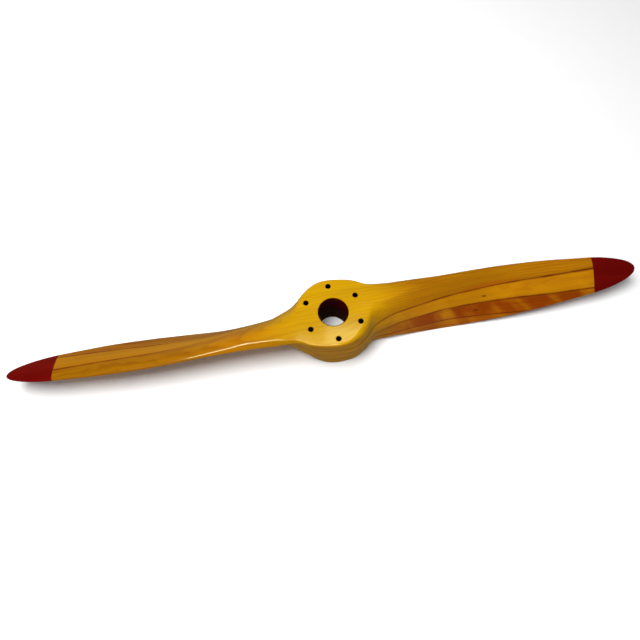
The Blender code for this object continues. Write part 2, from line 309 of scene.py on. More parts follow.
def blade_faces(part, radius, inset):
    """Heights of the rear and front faces over the chord line, brought in by inset."""
    factor = tip_factor(radius)
    thickness = blade_value(radius, THICKNESS) * factor
    blunt = BLUNT_NOSE * (1.0 - ease((radius - BLUNT_FROM) / (BLUNT_TO - BLUNT_FROM)))
    rear = NOSE_RISE * thickness * max(0.0, 1.0 - part / NOSE_LENGTH) ** 2
    depth = profile(part) + blunt * sqrt(part) * (1.0 - part) ** BLUNT_FADE
    front = rear + 2.0 * thickness * depth + TRAILING_THICKNESS * factor * part ** 2
    half = max((front - rear) / 2.0 - inset, min(LEAST_HALF, inset))
    middle = (front + rear) / 2.0
    return middle - half, middle + half


print("mid blade thickness:", round(blade_faces(THICKEST_AT, MID_BLADE, 0.0)[1], 1), "mm")

# %% [markdown]
# ## Places along the chord
# The blade's points follow the same eight stretches as the hub's. The nose gets its
# points close together, because that is where the surface turns fastest and where the
# varnish shows a highlight.

# %% Places along the chord
FACE_BREAK = 0.60
TOP_BREAK = 0.38
NOSE_BREAK = 0.035
LOWER_START = 0.43
LOWER_END = 0.57
TOP_CROWDING = 1.25
REAR_CROWDING = 1.2


def shares(count):
    """Evenly spaced shares strictly between 0 and 1."""
    return [(index + 1) / (count + 1) for index in range(count)]


def ends(count):
    """Evenly spaced shares from 0 to 1, both included."""
    return [index / (count - 1) for index in range(count)]


def chord_places():
    """(place along the chord, True on the front face) from behind the tail right round."""
    places = [(1.0 + (FACE_BREAK - 1.0) * share, True) for share in shares(WALL_POINTS)]
    for share in ends(FACE_CORNER_POINTS):
        places.append((FACE_BREAK + (TOP_BREAK - FACE_BREAK) * share, True))
    for share in shares(TOP_POINTS):
        reach = (1.0 - share) ** TOP_CROWDING
        places.append((NOSE_BREAK + (TOP_BREAK - NOSE_BREAK) * reach, True))
    for share in ends(FACE_CORNER_POINTS):
        turn = 1.0 - 2.0 * share
        places.append((NOSE_BREAK * turn * turn, turn > 0.0))
    for share in shares(WALL_POINTS):
        places.append((NOSE_BREAK + (LOWER_START - NOSE_BREAK) * share ** REAR_CROWDING, False))
    for share in ends(FOOT_CORNER_POINTS):
        places.append((LOWER_START + (LOWER_END - LOWER_START) * share, False))
    places += [(LOWER_END + (1.0 - LOWER_END) * share, False) for share in shares(REAR_POINTS)]
    return places


CHORD_PLACES = chord_places()
print("places along the chord:", len(CHORD_PLACES))

# %% [markdown]
# ## One blade section
# The aerofoil is now turned to the pitch angle and set at its height. Its tail is closed
# with a small half ellipse, because a carver leaves the trailing edge blunt enough not to
# split. The section's y and z are the frame's own.

# %% One blade section
TAIL_BULGE = 1.0 / 3.0


def blade_section(radius, inset):
    factor = tip_factor(radius)
    chord = blade_value(radius, CHORD) * factor
    pitch = radians(blade_value(radius, PITCH))
    tail = TRAILING_THICKNESS * factor
    along = Vector((-cos(pitch), -sin(pitch)))
    outward = Vector((-sin(pitch), cos(pitch)))
    nose = Vector((CHORD_OFFSET, blade_value(radius, HEIGHT))) - along * (chord / 2.0)
    nose -= outward * (NOSE_RISE * blade_value(radius, THICKNESS) * factor / 2.0)
    nose_trim = NOSE_TRIM * inset / chord
    tail_trim = TAIL_TRIM * inset / chord

    def place(part, front_side):
        part = nose_trim + part * (1.0 - nose_trim - tail_trim)
        rear, front = blade_faces(part, radius, inset)
        if part <= nose_trim:
            rear = front = (rear + front) / 2.0
        return nose + along * (chord * part) + outward * (front if front_side else rear)

    rear_tail, front_tail = place(1.0, False), place(1.0, True)
    middle, half = (rear_tail + front_tail) / 2.0, (front_tail - rear_tail) / 2.0
    points = []
    for share in ends(FOOT_CORNER_POINTS):
        turn = pi * (share - 0.5)
        points.append(middle + half * sin(turn) + along * (tail * TAIL_BULGE * cos(turn)))
    return points + [place(part, front_side) for part, front_side in CHORD_PLACES]


print("points round a blade section:", len(blade_section(MID_BLADE, 0.0)))

# %% [markdown]
# ## From hub to blade
# Between these two radii each section is part hub, part blade. Blending point by point
# gives the hollow that a carver's spokeshave leaves at the root.

# %% Any section, from the axis to the tip
ROOT_START = 52.0
ROOT_END = 115.0


def section(x, inset=0.0):
    """The section at x, in the frame's y and z, kept between the two hub faces."""
    weight = ease((x - ROOT_START) / (ROOT_END - ROOT_START))
    if weight == 0.0:
        return hub_section(x)
    blade = blade_section(x, inset)
    mixed = [hub.lerp(point, weight) for hub, point in zip(hub_section(x), blade)]
    return [Vector((y, min(HUB_THICKNESS, max(0.0, z)))) for y, z in mixed]


root_section = section((ROOT_START + ROOT_END) / 2.0)
print("points round a root section:", len(root_section))

# %% [markdown]
# ## Where the sections go
# Sections sit close together where the outline turns quickly: round the hub they follow
# equal angles, and on the tips they close up as a circle does.

# %% Stations along the blade
HUB_STEPS = 30
ROOT_STEPS = 26
BLADE_STEPS = 94
TIP_STEPS = 26
TIP_CLEARANCE = 0.03


def spread(start, end, steps):
    return [start + (end - start) * index / steps for index in range(steps)]


def inner_stations():
    last_angle = asin(ROOT_START / HUB_RADIUS)
    hub = [HUB_RADIUS * sin(angle) for angle in spread(0.0, last_angle, HUB_STEPS)]
    root = spread(ROOT_START, ROOT_END, ROOT_STEPS)
    blade = spread(ROOT_END, PAINT_RADIUS, BLADE_STEPS)
    return hub + root + blade


def tip_stations(clearance):
    """From the paint line to just short of the tip, closing up as on a circle."""
    first = asin((PAINT_RADIUS - TIP_RADIUS + TIP_ROUNDING) / TIP_ROUNDING)
    last = asin((TIP_ROUNDING - clearance) / TIP_ROUNDING)
    angles = [first + (last - first) * share for share in ends(TIP_STEPS + 1)]
    return [TIP_RADIUS - TIP_ROUNDING + TIP_ROUNDING * sin(angle) for angle in angles]


print("stations on one side:", len(inner_stations()) + len(tip_stations(TIP_CLEARANCE)))

# %% [markdown]
# ## Skinning the sections
# Each section becomes a closed ring of edges, and `bridge_loops` joins one ring to the
# next, as Bridge Edge Loops does in the editor. The other blade is the same shape turned
# half a turn about Z, so its x and y change sign.

# %% Rings and bridges
def ring(mesh, x, points, side):
    """The section's points as a closed ring of edges, on the +X side or the -X side."""
    corners = [mesh.verts.new((side * x * MM, side * y * MM, z * MM)) for y, z in points]
    return [mesh.edges.new((corners[index - 1], corners[index])) for index in range(len(corners))]


def skin(mesh, rings):
    for first, second in zip(rings, rings[1:]):
        bmesh.ops.bridge_loops(mesh, edges=first + second)
    for loop in (rings[0], rings[-1]):
        bmesh.ops.contextual_create(mesh, geom=loop)
    bmesh.ops.recalc_face_normals(mesh, faces=mesh.faces)


def as_object(name, mesh):
    data = bpy.data.meshes.new(name)
    mesh.to_mesh(data)
    mesh.free()
    made = bpy.data.objects.new(name, data)
    bpy.context.scene.collection.objects.link(made)
    return made


def smooth(piece, sharp_angle):
    piece.data.shade_smooth()
    piece.data.set_sharp_from_angle(angle=radians(sharp_angle))


print("edges in each ring:", len(root_section))

# %% [markdown]
# ## The carved block
# One ring after another from the far tip of one blade to the far tip of the other. Under
# the lacquer the wood is inset by the lacquer's thickness.

# %% Carve the block
LACQUER_THICKNESS = 0.5
PAINT_STEP = 0.02
CORE_TIP_CLEARANCE = 12.0


def carved_block():
    stations = [(x, 0.0) for x in inner_stations()] + [(PAINT_RADIUS - PAINT_STEP, 0.0)]
    stations += [(x, LACQUER_THICKNESS) for x in tip_stations(CORE_TIP_CLEARANCE)]
    mesh = bmesh.new()
    rings = [ring(mesh, x, section(x, inset), -1) for x, inset in reversed(stations[1:])]
    rings += [ring(mesh, x, section(x, inset), 1) for x, inset in stations]
    skin(mesh, rings)
    return as_object("carved_block", mesh)


block = carved_block()
print("carved block:", len(block.data.polygons), "faces")

# %% [markdown]
# ## Boring the hub
# The shaft bore and six bolt holes go right through. The cutter for each hole is a
# turned shape: a straight shank that opens into a small chamfer at both hub faces, which
# is how a drilled hole is eased so that the varnish doesn't chip. `spin` turns the
# profile round its axis. The shaft bore is cut wider than its finished size, because the
# sealer coat goes inside it.

# %% A turned cutter
BORE_RADIUS = 26.9
BORE_CHAMFER = 0.7
BOLT_CIRCLE_RADIUS = 50.8
BOLT_RADIUS = 4.85
BOLT_CHAMFER = 0.5
BOLT_COUNT = 6
FIRST_BOLT_ANGLE = radians(30.0)
OVERRUN = 8.0
BORE_SEGMENTS = 128
BOLT_SEGMENTS = 40
MERGE_DISTANCE = 1e-7


def turned(mesh, profile_points, segments, centre=(0.0, 0.0)):
    """Turns (radius, height) points round an upright axis through centre."""
    middle = Vector((centre[0], centre[1], 0.0)) * MM
    corners = [mesh.verts.new(middle + Vector((radius * MM, 0.0, height * MM)))
               for radius, height in profile_points]
    edges = [mesh.edges.new(pair) for pair in zip(corners, corners[1:])]
    bmesh.ops.spin(mesh, geom=corners + edges, cent=middle, axis=(0, 0, 1),
                   angle=2.0 * pi, steps=segments, use_merge=True)


def drill_profile(radius, chamfer):
    """Half of the cutter's outline: an upright shank between two wide cones."""
    low, high = -OVERRUN, HUB_THICKNESS + OVERRUN
    wide = radius + chamfer + OVERRUN
    return [(0.0, low), (wide, low), (radius, chamfer), (radius, HUB_THICKNESS - chamfer),
            (wide, high), (0.0, high)]


def bolt_centres():
    angles = [FIRST_BOLT_ANGLE + step * 2.0 * pi / BOLT_COUNT for step in range(BOLT_COUNT)]
    return [(BOLT_CIRCLE_RADIUS * cos(angle), BOLT_CIRCLE_RADIUS * sin(angle))
            for angle in angles]


print("bolt holes at", [[round(value, 1) for value in centre] for centre in bolt_centres()])

# %% [markdown]
# ## Drilling
# All seven cutters are one mesh, so one Boolean modifier drills the blank in one go, as
# it would in the editor. Its exact solver leaves clean rims on the flat hub faces.

# %% Drill the blank
def drills():
    """The shaft bore and the ring of bolt holes, as one cutter."""
    mesh = bmesh.new()
    turned(mesh, drill_profile(BORE_RADIUS, BORE_CHAMFER), BORE_SEGMENTS)
    for centre in bolt_centres():
        turned(mesh, drill_profile(BOLT_RADIUS, BOLT_CHAMFER), BOLT_SEGMENTS, centre)
    bmesh.ops.remove_doubles(mesh, verts=mesh.verts, dist=MERGE_DISTANCE)
    bmesh.ops.recalc_face_normals(mesh, faces=mesh.faces)
    return as_object("drills", mesh)


def drilled(body, cutter):
    """The body's mesh with the cutter taken away; both helpers are then removed."""
    cut = body.modifiers.new("holes", "BOOLEAN")
    cut.operation = "DIFFERENCE"
    cut.solver = "EXACT"
    cut.object = cutter
    graph = bpy.context.evaluated_depsgraph_get()
    data = bpy.data.meshes.new_from_object(body.evaluated_get(graph))
    for helper in (body, cutter):
        bpy.data.objects.remove(helper)
    return data


blank = drilled(block, drills())
print("drilled blank:", len(blank.polygons), "faces")

# %% [markdown]
# ## Sawing the block back into its boards
# The real maker glues first and carves later, so the joints are flat planes whatever the
# surface does. Here the carved block is cut at the same planes with `bisect_plane`. A
# slice keeps what is between two heights, and `triangle_fill` closes each cut.

# %% One flat slice of the block
SHARP_ANGLE = 35.0


def trim(mesh, height, keep_above):
    """Cuts the mesh level at a height, drops one side and closes the cut."""
    geometry = mesh.verts[:] + mesh.edges[:] + mesh.faces[:]
    cut = bmesh.ops.bisect_plane(mesh, geom=geometry, dist=MERGE_DISTANCE,
                                 plane_co=(0, 0, height * MM), plane_no=(0, 0, 1),
                                 clear_inner=keep_above, clear_outer=not keep_above)
    edges = [item for item in cut["geom_cut"] if isinstance(item, bmesh.types.BMEdge)]
    bmesh.ops.triangle_fill(mesh, use_beauty=True, edges=edges, normal=(0, 0, 1))


def slice_of(name, bottom, top):
    """The blank between two heights; None means as far as the blank goes."""
    mesh = bmesh.new()
    mesh.from_mesh(blank)
    if bottom is not None:
        trim(mesh, bottom, True)
    if top is not None:
        trim(mesh, top, False)
    bmesh.ops.recalc_face_normals(mesh, faces=mesh.faces)
    made = as_object(name, mesh)
    smooth(made, SHARP_ANGLE)
    return made


print("edges stay crisp from", SHARP_ANGLE, "degrees")

# %% [markdown]
# ## Four boards and three films of glue
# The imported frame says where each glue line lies. What is left between the lines are the
# boards, and each film of glue is a slice of the same carved block, so it comes out
# exactly flush with the wood on both sides.

# %% Four boards and three films of glue
GLUE_THICKNESS = 0.4


def glue_height(index):
    low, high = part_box(f"glue_line_{index}")
    return (low.z + high.z) / 2.0 / MM


GLUE_HEIGHTS = [glue_height(index) for index in (1, 2, 3)]
BOARD_NAMES = ("rear_board", "second_board", "third_board", "front_board")
bottoms = [None] + [height + GLUE_THICKNESS / 2.0 for height in GLUE_HEIGHTS]
tops = [height - GLUE_THICKNESS / 2.0 for height in GLUE_HEIGHTS] + [None]

boards = {}
for name, bottom, top in zip(BOARD_NAMES, bottoms, tops):
    boards[name] = slice_of("carved_" + name, bottom, top)
films = []
for index, height in enumerate(GLUE_HEIGHTS):
    low, high = height - GLUE_THICKNESS / 2.0, height + GLUE_THICKNESS / 2.0
    films.append(slice_of(f"dark_glue_film_{index + 1}", low, high))
bpy.data.meshes.remove(blank)
print("glue lines at", [round(height, 1) for height in GLUE_HEIGHTS], "mm")

# %% [markdown]
# ## Red lacquer on the tips
# The lacquer is a thin shell that is open towards the hub. Its outer skin is the blade's
# own surface and its inner skin is the inset one, so one run of rings goes out from the
# paint line to the tip, and another comes back inside it.

# %% Lacquer shells
SHELL_TIP_CLEARANCE = 9.0


def lacquer_shell(name, side):
    mesh = bmesh.new()
    outside = [ring(mesh, x, section(x), side) for x in tip_stations(TIP_CLEARANCE)]
    inside = [ring(mesh, x, section(x, LACQUER_THICKNESS), side)
              for x in tip_stations(SHELL_TIP_CLEARANCE)]
    bmesh.ops.bridge_loops(mesh, edges=outside[0] + inside[0])
    for rings in (outside, inside):
        for first, second in zip(rings, rings[1:]):
            bmesh.ops.bridge_loops(mesh, edges=first + second)
        bmesh.ops.contextual_create(mesh, geom=rings[-1])
    bmesh.ops.recalc_face_normals(mesh, faces=mesh.faces)
    made = as_object(name, mesh)
    smooth(made, SHARP_ANGLE)
    return made


tips = {"red_tip_coat_a": lacquer_shell("red_lacquer_a", 1),
        "red_tip_coat_b": lacquer_shell("red_lacquer_b", -1)}
print("lacquer starts at", PAINT_RADIUS, "mm")

# %% [markdown]
# ## Maroon sealer in the shaft bore
# End grain drinks water, so the bore is sealed with a brushed maroon coat. It is a turned
# tube with softened lips, set back a little from both hub faces.

# %% Turn the sealer tube
SEALER_INNER = 26.1
SEALER_OUTER = 26.88
SEALER_LIP = 0.2
SEALER_SETBACK = 0.25
SEALER_SHARP_ANGLE = 50.0


def sealer_profile():
    low, high = SEALER_SETBACK, HUB_THICKNESS - SEALER_SETBACK
    return [(SEALER_OUTER, low), (SEALER_INNER + SEALER_LIP, low),
            (SEALER_INNER, low + SEALER_LIP), (SEALER_INNER, high - SEALER_LIP),
            (SEALER_INNER + SEALER_LIP, high), (SEALER_OUTER, high), (SEALER_OUTER, low)]


def sealer_tube():
    mesh = bmesh.new()
    turned(mesh, sealer_profile(), BORE_SEGMENTS)
    bmesh.ops.remove_doubles(mesh, verts=mesh.verts, dist=MERGE_DISTANCE)
    bmesh.ops.recalc_face_normals(mesh, faces=mesh.faces)
    made = as_object("maroon_bore_sealer", mesh)
    smooth(made, SEALER_SHARP_ANGLE)
    return made


sealer = sealer_tube()
print("sealer tube:", len(sealer.data.polygons), "faces")

# %% [markdown]
# ## A little node arithmetic
# The finishes are procedural, so that they run through the solid and need no unwrapping.
# These helpers add a node and wire what it is given: a number is set on the socket, and a
# socket is linked to it.

# %% Node helpers
def feed(tree, target, value):
    if isinstance(value, bpy.types.NodeSocket):
        tree.links.new(value, target)
    else:
        target.default_value = value


def calc(tree, operation, *values):
    node = tree.nodes.new("ShaderNodeMath")
    node.operation = operation
    for target, value in zip(node.inputs, values):
        feed(tree, target, value)
    return node.outputs["Value"]


def calc_vector(tree, operation, *values):
    node = tree.nodes.new("ShaderNodeVectorMath")
    node.operation = operation
    for target, value in zip(node.inputs, values):
        feed(tree, target, value)
    return node.outputs["Value" if operation == "LENGTH" else "Vector"]


def scaled(tree, vector, amount):
    node = tree.nodes.new("ShaderNodeVectorMath")
    node.operation = "SCALE"
    feed(tree, node.inputs["Vector"], vector)
    feed(tree, node.inputs["Scale"], amount)
    return node.outputs["Vector"]


def axis_of(tree, vector, axis):
    node = tree.nodes.new("ShaderNodeSeparateXYZ")
    feed(tree, node.inputs["Vector"], vector)
    return node.outputs[axis]


print("arithmetic helpers are ready")

# %% [markdown]
# ## Noise, blends and smooth steps
# `noise` is stretched by a vector: a large number packs the pattern close along that
# axis, so wood grain has a small number along the board. `span` picks out a range of a
# pattern with soft ends, and `blend` mixes two colours by it.

# %% Pattern helpers
PLAIN_DETAIL = 2.0
FINE_DETAIL = 3.0


def object_place(tree):
    return tree.nodes.new("ShaderNodeTexCoord").outputs["Object"]


def noise(tree, place, stretch, detail=PLAIN_DETAIL, output="Fac"):
    node = tree.nodes.new("ShaderNodeTexNoise")
    node.inputs["Scale"].default_value = 1.0
    node.inputs["Detail"].default_value = detail
    feed(tree, node.inputs["Vector"], calc_vector(tree, "MULTIPLY", place, stretch))
    return node.outputs[output]


def blend(tree, share, first, second):
    node = tree.nodes.new("ShaderNodeMix")
    node.data_type = "RGBA"
    feed(tree, node.inputs["Factor"], share)
    feed(tree, node.inputs["A"], first)
    feed(tree, node.inputs["B"], second)
    return node.outputs["Result"]


def span(tree, value, low, high, start=0.0, end=1.0):
    """Maps low..high to start..end with a smooth step."""
    node = tree.nodes.new("ShaderNodeMapRange")
    node.interpolation_type = "SMOOTHSTEP"
    for name, amount in (("Value", value), ("From Min", low), ("From Max", high),
                         ("To Min", start), ("To Max", end)):
        feed(tree, node.inputs[name], amount)
    return node.outputs["Result"]


print("pattern helpers are ready")

# %% [markdown]
# ## Starting a finish
# Every finish on the propeller starts from the Principled shader and ends with a fine
# relief, because no brushed or rubbed surface is perfectly smooth, and its highlights
# show it.

# %% A new finish, and its relief
def new_finish(name):
    """A new material, its node tree and its shader."""
    made = bpy.data.materials.new(name)
    made.use_nodes = True
    return made, made.node_tree, made.node_tree.nodes["Principled BSDF"]


def relief(tree, shader, height, strength, depth):
    bump = tree.nodes.new("ShaderNodeBump")
    bump.inputs["Strength"].default_value = strength
    bump.inputs["Distance"].default_value = depth * MM
    tree.links.new(height, bump.inputs["Height"])
    tree.links.new(bump.outputs["Normal"], shader.inputs["Normal"])


print("finish helpers are ready")

# %% [markdown]
# ## Growth rings
# Wood is a solid, so its figure belongs to the block and not to its surface: the growth
# rings are nearly cylinders round a pith that runs along the board, and the carved
# surface cuts through them. That is why the grain is straight on the flat hub face and
# flows in contours where the blade roots dip away. Two slow noises sway the rings, as a
# tree does that didn't grow quite straight.

# %% Growth rings
RING_SWAYS = (((2.6, 17.0, 17.0), 1.0), ((15.0, 26.0, 26.0), 0.6))
RING_WANDER = 0.018
LATE_WOOD_FROM = 0.35
LATE_WOOD_FULL = 0.88
LATE_WOOD_STOPS = 0.93


def turned_place(tree, place, turn):
    node = tree.nodes.new("ShaderNodeMapping")
    node.inputs["Rotation"].default_value = [radians(value) for value in turn]
    feed(tree, node.inputs["Vector"], place)
    return node.outputs["Vector"]


def growth_rings(tree, place, pith, width):
    """Share of dark late wood: it builds up slowly and stops sharply at each ring."""
    bent = place
    for stretch, share in RING_SWAYS:
        reach = RING_WANDER * share
        sway = noise(tree, place, stretch, PLAIN_DETAIL, "Color")
        sway = calc_vector(tree, "SUBTRACT", sway, (0.5, 0.5, 0.5))
        sway = calc_vector(tree, "MULTIPLY", sway, (0.0, reach, reach))
        bent = calc_vector(tree, "ADD", bent, sway)
    across = calc_vector(tree, "SUBTRACT", bent, (0.0, *pith))
    across = calc_vector(tree, "MULTIPLY", across, (0.0, 1.0, 1.0))
    rings = calc(tree, "DIVIDE", calc_vector(tree, "LENGTH", across), width)
    in_ring = calc(tree, "FRACT", rings)
    build_up = span(tree, in_ring, LATE_WOOD_FROM, LATE_WOOD_FULL)
    stop = span(tree, in_ring, LATE_WOOD_STOPS, 1.0, 1.0, 0.0)
    return calc(tree, "MULTIPLY", build_up, stop)


print("rings wander by up to", RING_WANDER / MM / 2.0, "mm")

# %% [markdown]
# ## Flame and pores
# The figured boards have a flame: soft bands slanted across the grain, where the fibres
# weave. It is strong in the +X half of a board and faint in the other, because a board is
# seldom figured all along. Pores are short dark dashes along the grain of every board.

# %% Flame and pores
FLAME_SLANT = (0.0, 0.0, -50.0)
FLAME_STRETCH = (30.0, 6.0, 5.0)
FAINT_FLAME = 0.12
PORE_STRETCH = (150.0, 1500.0, 1500.0)


def flame(tree, place):
    bands = noise(tree, turned_place(tree, place, FLAME_SLANT), FLAME_STRETCH, FINE_DETAIL)
    strength = span(tree, axis_of(tree, place, "X"), -0.05, 0.05, FAINT_FLAME, 1.0)
    return calc(tree, "MULTIPLY", span(tree, bands, 0.34, 0.56), strength)


def pores(tree, place):
    return span(tree, noise(tree, place, PORE_STRETCH, 1.0), 0.60, 0.72)


print("the flame lies at", FLAME_SLANT[2], "degrees")

# %% [markdown]
# ## Glue stain and pin knots
# Near a glue line the glue soaks into the open pores and leaves a dark, broken stain. On
# the -X root the grain is closed and hardly takes it. A pin knot is a small dark
# ellipsoid, so it may come out on the carved surface anywhere.

# %% Glue stain and pin knots
STAIN_STRETCH = (34.0, 20.0, 20.0)
CLOSED_GRAIN = 0.15


def glue_stain(tree, place, height, reach):
    off = calc(tree, "SUBTRACT", axis_of(tree, place, "Z"), height * MM)
    near = span(tree, calc(tree, "ABSOLUTE", off), 0.0, reach * MM, 1.0, 0.0)
    broken = span(tree, noise(tree, place, STAIN_STRETCH, FINE_DETAIL), 0.3, 0.7, 0.45, 1.0)
    along = axis_of(tree, place, "X")
    open_grain = calc(tree, "MAXIMUM", span(tree, along, -0.05, 0.02),
                      span(tree, along, -0.34, -0.26, 1.0, CLOSED_GRAIN))
    return calc(tree, "MULTIPLY", calc(tree, "MULTIPLY", near, broken), open_grain)


def pin_knot(tree, place, centre, size):
    off = calc_vector(tree, "SUBTRACT", place, [value * MM for value in centre])
    off = calc_vector(tree, "DIVIDE", off, [value * MM for value in size])
    return span(tree, calc_vector(tree, "LENGTH", off), 0.2, 1.0, 1.0, 0.0)


print("closed grain takes", CLOSED_GRAIN, "of the stain")

# %% [markdown]
# ## Painted light and shade in the wood
# The wood is painted paler on the hub than out on the blades: painted light on the hub's
# flat face. It is darkest on the -X blade, as painted shade, and the hub's upright wall on
# the -Y side is painted browner than its faces, also as painted shade.

# %% Tones of the wood
HUB_TONE_FROM = 45.0
HUB_TONE_TO = 175.0
# Painted light: these pale tones on the hub stand in for the light on its flat face.
LIT_HUB_FACE_TONES = ((0.53, 0.285, 0.001), (0.42, 0.195, 0.001))
# Painted shade: darker tones for the hub's upright wall that faces -Y.
SHADED_WALL_TONES = ((0.40, 0.180, 0.001), (0.27, 0.100, 0.001))
# Painted shade: how dark the -X blade's tip is painted.
LEFT_BLADE_SHADE = 0.68


def hub_share(tree, place):
    out = calc(tree, "ABSOLUTE", axis_of(tree, place, "X"))
    return span(tree, out, HUB_TONE_FROM * MM, HUB_TONE_TO * MM, 1.0, 0.0)


def unshaded_share(tree):
    """0 on the upright wall that faces -Y, where shade is painted, rising to 1 on faces that look
    up or away.
    """
    normal = tree.nodes.new("ShaderNodeNewGeometry").outputs["Normal"]
    return span(tree, axis_of(tree, normal, "Y"), -0.9, -0.3)


def wood_tones(tree, place, blade_tones):
    """The early and the late wood's colours, painted paler on the hub as painted light and
    browner on the -Y wall as painted shade.
    """
    on_hub, unshaded = hub_share(tree, place), unshaded_share(tree)
    tones = []
    for blade_tone, shaded_wall_tone, lit_face_tone in zip(blade_tones, SHADED_WALL_TONES, LIT_HUB_FACE_TONES):
        hub_tone = blend(tree, unshaded, (*shaded_wall_tone, 1.0), (*lit_face_tone, 1.0))
        tones.append(blend(tree, on_hub, (*blade_tone, 1.0), hub_tone))
    return tones


def patches_and_painted_shade(tree, place):
    """Uneven varnish in broad patches, and painted shade that darkens the -X blade towards its
    tip.
    """
    patches = span(tree, noise(tree, place, (5.0, 17.0, 17.0)), 0.25, 0.75, 0.86, 1.12)
    painted_shade = span(tree, axis_of(tree, place, "X"), -0.42, -0.10, LEFT_BLADE_SHADE, 1.0)
    return calc(tree, "MULTIPLY", patches, painted_shade)


print("pale to deep from", HUB_TONE_FROM, "to", HUB_TONE_TO, "mm out")

# %% [markdown]
# ## Marks laid over the plain wood
# Each mark is blended over the colour below it, in the order in which it happened: the
# flame grew with the tree, the glue soaked in later, and the knots are laid on last so
# that no stain hides them.

# %% Flame, stains and knots over the wood
FLAME_TONE = (0.20, 0.026, 0.0, 1.0)
SOAKED_GLUE = (3.6, 0.5, (0.30, 0.07, 0.001, 1.0))
GLUE_EDGE = (1.7, 0.95, (0.10, 0.014, 0.001, 1.0))
KNOT_STRENGTH = 0.8


def with_flame(tree, place, colour, depth):
    off_hub = calc(tree, "SUBTRACT", 1.0, hub_share(tree, place))
    strength = calc(tree, "MULTIPLY", off_hub, depth)
    return blend(tree, calc(tree, "MULTIPLY", flame(tree, place), strength), colour, FLAME_TONE)


def with_stains(tree, place, colour, heights):
    """A wide faint stain and a narrow dark one along each glue line."""
    for height in heights:
        for reach, strength, tone in (SOAKED_GLUE, GLUE_EDGE):
            share = calc(tree, "MULTIPLY", glue_stain(tree, place, height, reach), strength)
            colour = blend(tree, share, colour, tone)
    return colour


def with_knots(tree, place, colour, knots):
    for centre, size, tone in knots:
        share = calc(tree, "MULTIPLY", pin_knot(tree, place, centre, size), KNOT_STRENGTH)
        colour = blend(tree, share, colour, (*tone, 1.0))
    return colour


print("stains reach", SOAKED_GLUE[0], "mm from a glue line")

# %% [markdown]
# ## Clear varnish
# The varnish is the shader's clear coat: hard, glossy, and a little less so over coarse
# fibres, where it sinks. The wood under it stays half matt and hardly shines by itself,
# or the gloss would turn grey.

# %% Clear varnish
UNDER_COAT_SHINE = 0.03
VARNISH_WEIGHT = 0.9
VARNISH_IOR = 1.45
GRAIN_RELIEF = 0.45
GRAIN_DEPTH = 0.15


def varnish(tree, shader, fibres, streaks, late_wood):
    tree.links.new(span(tree, streaks, 0.3, 0.7, 0.34, 0.48), shader.inputs["Roughness"])
    tree.links.new(span(tree, fibres, 0.35, 0.65, 0.05, 0.14), shader.inputs["Coat Roughness"])
    shader.inputs["Specular IOR Level"].default_value = UNDER_COAT_SHINE
    shader.inputs["Coat Weight"].default_value = VARNISH_WEIGHT
    shader.inputs["Coat IOR"].default_value = VARNISH_IOR
    relief(tree, shader, calc(tree, "ADD", fibres, late_wood), GRAIN_RELIEF, GRAIN_DEPTH)


print("grain shows through the varnish as a relief of", GRAIN_DEPTH, "mm")

# %% [markdown]
# ## Varnished wood
# One function finishes all four boards. How dark a spot is comes from three patterns
# together: growth rings, streaks and fine fibres, all running along the board, which is
# turned a degree or two in the blank, as real boards are.

# %% Varnished wood
FIBRE_STRETCH = (9.0, 900.0, 900.0)
STREAK_STRETCH = (2.4, 95.0, 95.0)
STREAK_DEPTH = 1.3
FIBRE_DEPTH = 0.7
PORE_DEPTH = 0.35


def darkness(tree, late_wood, ring_depth, streaks, fibres):
    """0 in pale early wood, 1 in the darkest grain."""
    dark = calc(tree, "MULTIPLY", late_wood, ring_depth)
    for pattern, depth in ((streaks, STREAK_DEPTH), (fibres, FIBRE_DEPTH)):
        swing = calc(tree, "MULTIPLY", calc(tree, "SUBTRACT", pattern, 0.5), depth)
        dark = calc(tree, "ADD", dark, swing)
    return span(tree, dark, -0.3, 0.9)


def varnished_wood(name, blade_tones, pith, ring_width, turn, ring_depth,
                   flame_depth, stain_heights, knots=()):
    made, tree, shader = new_finish(name)
    place = object_place(tree)
    grain = turned_place(tree, place, turn)
    late_wood = growth_rings(tree, grain, [value * MM for value in pith], ring_width * MM)
    fibres = noise(tree, grain, FIBRE_STRETCH, FINE_DETAIL)
    streaks = noise(tree, grain, STREAK_STRETCH, FINE_DETAIL)

    early, late = wood_tones(tree, place, blade_tones)
    colour = blend(tree, darkness(tree, late_wood, ring_depth, streaks, fibres), early, late)
    colour = blend(tree, calc(tree, "MULTIPLY", pores(tree, grain), PORE_DEPTH), colour, late)
    if flame_depth:
        colour = with_flame(tree, place, colour, flame_depth)
    # The colour is scaled by random patches and by painted shade on the -X blade.
    colour = scaled(tree, colour, patches_and_painted_shade(tree, place))
    colour = with_stains(tree, place, colour, stain_heights)
    colour = with_knots(tree, place, colour, knots)
    tree.links.new(colour, shader.inputs["Base Color"])
    varnish(tree, shader, fibres, streaks, late_wood)
    return made


print("streaks weigh", STREAK_DEPTH, "and fibres", FIBRE_DEPTH)

# %% [markdown]
# ## Four boards, four finishes
# No two boards of a blank are cut from the same place. Each has its own pith and slope of
# grain. The two front boards are golden and plain, and the two rear ones are redder and
# figured, so the blades come out in layers of pale and dark wood. The third board has a
# pin knot, the second a knot and a dark streak, and the front board a wedge of
# resin-rich wood.

# %% Four boards, four finishes
GLUE_1, GLUE_2, GLUE_3 = GLUE_HEIGHTS
AMBER = ((0.37, 0.145, 0.001), (0.26, 0.080, 0.001))
PALE_AMBER = ((0.50, 0.205, 0.001), (0.36, 0.120, 0.001))
RED_AMBER = ((0.42, 0.155, 0.001), (0.27, 0.060, 0.001))
KNOT = (0.09, 0.016, 0.001)
RESIN = (0.34, 0.085, 0.001)
DARK_STREAK = (0.16, 0.045, 0.001)

